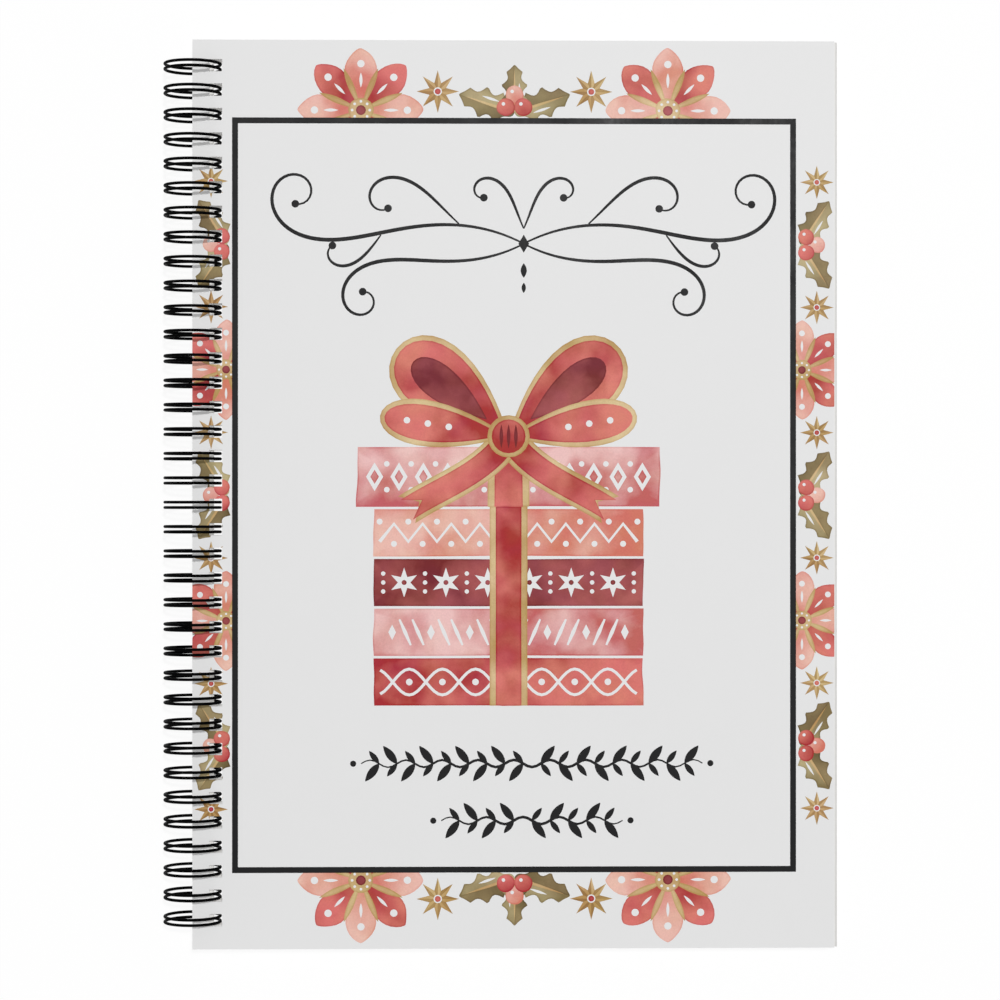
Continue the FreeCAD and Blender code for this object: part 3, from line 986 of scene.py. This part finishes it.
def wire_line(plan):
    """Points along the middle of the wire, from its end at the foot to its end at the head."""
    sizes = plan.sizes
    radius, bend, half_twin = plan.loop_radius, sizes.bend_radius, sizes.twin_spacing / 2
    along, quarter = Vector((0, 1, 0)), math.pi / 2
    points = []

    def polar(angle):
        outward = Vector((math.cos(angle), 0, math.sin(angle)))
        return outward, Vector((-outward.z, 0, outward.x))

    def sweep(middle, first, second, start, end, steps):
        """Points on an arc in the plane of two vectors, without its first."""
        for index in range(1, steps + 1):
            turn = start + (end - start) * index / steps
            points.append(middle + first * math.cos(turn) + second * math.sin(turn))

    root, tip = sizes.root_angle, sizes.tip_angle + 2 * math.pi
    root_out, root_on = polar(root)
    tip_out, tip_on = polar(tip)
    spine = root_out * radius - root_on * bend
    flat, upright = Vector((radius, 0, 0)), Vector((0, 0, radius))
    points.append(spine + along * (plan.first_loop - half_twin - bend - sizes.stub_length))
    for index in range(sizes.loop_count):
        middle = plan.first_loop + sizes.loop_pitch * index
        low, high = middle - half_twin, middle + half_twin
        points.append(spine + along * (low - bend))
        corner = root_out * radius + along * (low - bend)
        sweep(corner, root_on * bend, along * bend, 2 * quarter, quarter, BEND_STEPS)
        sweep(along * low, flat, upright, root, tip, LOOP_STEPS)
        turn_middle = tip_out * radius + along * middle
        sweep(turn_middle, tip_on * half_twin, along * half_twin, -quarter, quarter, TIP_STEPS)
        sweep(along * high, flat, upright, tip, root, LOOP_STEPS)
        corner = root_out * radius + along * (high + bend)
        sweep(corner, root_on * bend, along * bend, -quarter, -2 * quarter, BEND_STEPS)
    points.append(points[-1] + along * sizes.stub_length)
    return points


def tube_mesh(name, points, radius, sides):
    """A round tube along points, closed at both ends."""
    vertices, faces = [], []
    last = len(points) - 1
    across = Vector((1, 0, 0))
    for index, point in enumerate(points):
        ahead = (points[min(index + 1, last)] - points[max(index - 1, 0)]).normalized()
        across = (across - ahead * across.dot(ahead)).normalized()
        up = ahead.cross(across)
        for side in range(sides):
            turn = 2 * math.pi * side / sides
            vertices.append(point + (across * math.cos(turn) + up * math.sin(turn)) * radius)
    for index in range(last):
        for side in range(sides):
            here, after = index * sides + side, index * sides + (side + 1) % sides
            faces.append((here, after, after + sides, here + sides))
    faces.append(tuple(reversed(range(sides))))
    faces.append(tuple(last * sides + side for side in range(sides)))
    mesh = bpy.data.meshes.new(name)
    mesh.from_pydata(vertices, [], faces)
    mesh.polygons.foreach_set("use_smooth", [len(face) == 4 for face in faces])
    mesh.update()
    return mesh


# Operators

class CARDBOOK_OT_wire(bpy.types.Operator):
    """Makes the black twin-loop wire"""
    bl_idname = "card_book.wire"
    bl_label = "Twin-loop wire"

    def execute(self, context):
        plan = layout()
        mesh = tube_mesh("twin_loops", wire_line(plan), plan.sizes.wire_diameter / 2, TUBE_SIDES)
        add_piece("twin_loops", mesh, "back", "twin_loop_wire", [wire_material()], plan.book)
        return {"FINISHED"}


class CARDBOOK_OT_front_cover(bpy.types.Operator):
    """Makes the printed front cover"""
    bl_idname = "card_book.front_cover"
    bl_label = "Printed front cover"

    def execute(self, context):
        plan, shapes = layout(), cover_drawing()
        slots = ink_slots(shapes)
        face = sheet_face(plan, shapes, COVER_POOL)
        mesh = card_mesh("front_cover_card", face, plan.sizes.front_thickness, slots)
        materials = print_materials(card_material("cover_card", tones().cover_card), slots)
        place = plan.sheet_frame(plan.front_edge, 0, plan.front_level)
        add_piece("front_cover_card", mesh, "front", "front_cover", materials, place)
        return {"FINISHED"}


class CARDBOOK_OT_back_cover(bpy.types.Operator):
    """Finishes the plain back cover"""
    bl_idname = "card_book.back_cover"
    bl_label = "Back cover"

    def execute(self, context):
        dress_node("back_cover", card_material("back_card", tones().cover_card, mottle=0.05, polish=0.55))
        return {"FINISHED"}


class CARDBOOK_OT_leaves(bpy.types.Operator):
    """Makes the printed leaves"""
    bl_idname = "card_book.leaves"
    bl_label = "Leaves"

    def execute(self, context):
        plan = layout()
        shapes = leaf_drawing(plan.sizes)
        slots = ink_slots(shapes)
        face = sheet_face(plan, shapes, INNER_POOL)
        materials = print_materials(card_material("leaf_card", tones().leaf_card), slots)
        for number in LEAVES:
            name, leaf = "leaf_card_%d" % number, "leaf_%d" % number
            mesh = card_mesh(name, face, plan.sizes.leaf_thickness, slots)
            place = plan.sheet_frame(plan.leaf_edge[number], 0, plan.leaf_level[number])
            add_piece(name, mesh, leaf, leaf, materials, place)
        return {"FINISHED"}


class CARDBOOK_OT_pockets(bpy.types.Operator):
    """Makes the printed pocket panels and finishes the tape under them"""
    bl_idname = "card_book.pockets"
    bl_label = "Card pockets"

    def execute(self, context):
        plan = layout()
        sizes = plan.sizes
        whole = complex(sizes.panel_width, sizes.panel_height) / MM
        thumb_radius = sizes.thumb_diameter / 2 / MM
        shapes = panel_drawing(whole, thumb_radius)
        slots = ink_slots(shapes)
        face = cut_face(notched(whole, thumb_radius, inset=0.0), [], shapes, INNER_POOL)
        materials = print_materials(card_material("panel_card", tones().leaf_card), slots)
        foam = foam_material()
        for number in LEAVES:
            across = plan.leaf_edge[number] + sizes.pocket_centre - sizes.panel_width / 2
            height = plan.leaf_level[number] + sizes.leaf_thickness + sizes.tape_thickness
            for place, side in PLACES:
                key = "%d_%s" % (number, place)
                name, leaf = "pocket_panel_" + key, "leaf_%d" % number
                up = side * sizes.pocket_pitch / 2 - sizes.panel_height / 2
                mesh = card_mesh(name, face, sizes.panel_thickness, slots)
                sheet = plan.sheet_frame(across, up, height)
                add_piece(name, mesh, leaf, "pocket_" + key, materials, sheet)
                for strip in STRIPS:
                    dress_node("tape_%s_%s" % (key, strip), foam)
        return {"FINISHED"}


class CARDBOOK_OT_stage(bpy.types.Operator):
    """Sets the white floor, soft light and camera"""
    bl_idname = "card_book.stage"
    bl_label = "Stage"

    def execute(self, context):
        scene = context.scene
        settings = scene.card_book_stage
        self.floor(settings)
        self.light(scene, settings)
        camera = bpy.data.cameras.new("picture_camera")
        camera.lens = settings.lens
        camera.clip_start = settings.camera_near
        scene.camera = put("picture_camera", camera)
        scene.camera.location = (-settings.camera_left, -settings.camera_down, settings.camera_height)
        scene.view_settings.view_transform = "Standard"
        return {"FINISHED"}

    def floor(self, settings):
        """A white floor that keeps the shadow, and shows as plain white elsewhere."""
        mesh = bpy.data.meshes.new("floor")
        corners = [(FLOOR_HALF * x, FLOOR_HALF * y, 0) for x, y in ((-1, -1), (1, -1), (1, 1), (-1, 1))]
        mesh.from_pydata(corners, [], [(0, 1, 2, 3)])
        material, nodes, shader = new_material("floor_white", FLOOR_WHITE)
        nodes.feed(shader, {"Base Color": opaque(FLOOR_WHITE), "Roughness": 0.9, "Specular IOR Level": 0.0})
        glow = nodes.add("ShaderNodeEmission")
        share = nodes.math("MULTIPLY", self.seen(nodes), settings.backdrop)
        mixed = nodes.add("ShaderNodeMixShader", {0: share, 1: shader.outputs[0], 2: glow.outputs[0]})
        nodes.feed(material.node_tree.nodes["Material Output"], {"Surface": mixed.outputs[0]})
        mesh.materials.append(material)
        floor = put("floor", mesh)

    def seen(self, nodes):
        """One where a ray comes from the camera, a reflection or through glass."""
        rays = nodes.add("ShaderNodeLightPath").outputs
        some = nodes.math("MAXIMUM", rays["Is Camera Ray"], rays["Is Glossy Ray"])
        return nodes.math("MAXIMUM", some, rays["Is Transmission Ray"])

    def light(self, scene, settings):
        """A lamp overhead, an even fill and a white world that lights less than it shows."""
        world = bpy.data.worlds.new("studio")
        world.use_nodes = True
        nodes = Nodes(world.node_tree)
        strength = nodes.math("MULTIPLY_ADD", self.seen(nodes), 1.0 - settings.ambient, settings.ambient)
        nodes.feed(world.node_tree.nodes["Background"], {"Color": (1, 1, 1, 1), "Strength": strength})
        scene.world = world
        key = bpy.data.lights.new("key", "AREA")
        key.shape = "DISK"
        key.size = settings.key_width
        key.energy = settings.key_power
        lamp = put("key", key)
        lamp.location = settings.key_place
        lamp.rotation_euler = (-lamp.location).to_track_quat("-Z", "Y").to_euler()
        fill = bpy.data.lights.new("fill", "SUN")
        fill.energy = settings.fill * math.pi
        fill.use_shadow = False
        put("fill", fill).visible_glossy = False


OPERATORS = (CARDBOOK_OT_wire, CARDBOOK_OT_front_cover, CARDBOOK_OT_back_cover, CARDBOOK_OT_leaves,
             CARDBOOK_OT_pockets, CARDBOOK_OT_stage)


class CARDBOOK_PT_pieces(bpy.types.Panel):
    """Lists the book's pieces and its stage"""
    bl_idname = "CARDBOOK_PT_pieces"
    bl_label = "Card book"
    bl_space_type = "VIEW_3D"
    bl_region_type = "UI"
    bl_category = "Card Book"

    def draw(self, context):
        scene = context.scene
        for operator in OPERATORS:
            self.layout.operator(operator.bl_idname)
        for group in (scene.card_book_sizes, scene.card_book_colours, scene.card_book_stage):
            column = self.layout.column()
            for name in group.bl_rna.properties.keys():
                if name not in ("rna_type", "name"):
                    column.prop(group, name)


CLASSES = (CardBookSizes, CardBookColours, CardBookStage) + OPERATORS + (CARDBOOK_PT_pieces,)


def register():
    for entry in CLASSES:
        bpy.utils.register_class(entry)
    bpy.types.Scene.card_book_sizes = PointerProperty(type=CardBookSizes)
    bpy.types.Scene.card_book_colours = PointerProperty(type=CardBookColours)
    bpy.types.Scene.card_book_stage = PointerProperty(type=CardBookStage)


def unregister():
    del bpy.types.Scene.card_book_stage
    del bpy.types.Scene.card_book_colours
    del bpy.types.Scene.card_book_sizes
    for entry in reversed(CLASSES):
        bpy.utils.unregister_class(entry)


def main():
    register()
    bpy.ops.card_book.wire()
    bpy.ops.card_book.front_cover()
    bpy.ops.card_book.back_cover()
    bpy.ops.card_book.leaves()
    bpy.ops.card_book.pockets()
    bpy.ops.card_book.stage()


if __name__ == "__main__":
    main()
